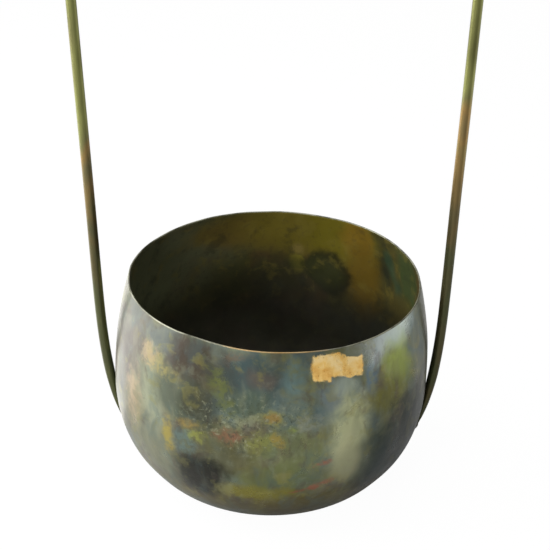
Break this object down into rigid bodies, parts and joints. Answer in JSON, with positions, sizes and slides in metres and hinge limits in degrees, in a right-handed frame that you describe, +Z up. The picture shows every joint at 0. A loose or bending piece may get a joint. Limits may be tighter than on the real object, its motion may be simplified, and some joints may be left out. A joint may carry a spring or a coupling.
{
  "type": "hanging planter",
  "caption": "Round thin-walled metal bowl carried by a tall arched rod hoop with a loose ring at the top, for hanging a potted plant.",
  "frame": {"origin": "middle of the bowl's flat foot, on the plane it stands on", "axes": "+Z up through the bowl's mouth and the top of the hoop, X through the two arms of the hoop, Y square to the hoop"},
  "size_m": [0.2372, 0.19, 0.5],
  "materials": {
    "bowl_brass": "flame patinated, semi-gloss, mottled grey-green and gold",
    "rod_brass": "darkened, glossy, olive to black-green",
    "rivet_brass": "darkened, worn bright on the domes",
    "ring_brass": "darkened, worn bright where it rubs"
  },
  "bodies": {
    "planter": {"bowl": "bowl_brass", "bail": "rod_brass", "rivet_right_upper": "rivet_brass", "rivet_right_lower": "rivet_brass", "rivet_left_upper": "rivet_brass", "rivet_left_lower": "rivet_brass", "burr_right_upper": "rivet_brass", "burr_right_lower": "rivet_brass", "burr_left_upper": "rivet_brass", "burr_left_lower": "rivet_brass", "stop_collar_right": "ring_brass", "stop_collar_left": "ring_brass"},
    "ring": {"hanging_ring": "ring_brass"}
  },
  "joints": [
    {"name": "ring_swing", "type": "hinge", "parent": "planter", "child": "ring", "pos_m": [0, 0, 0.49291], "axis": [1, 0, 0], "continuous": true}
  ]
}
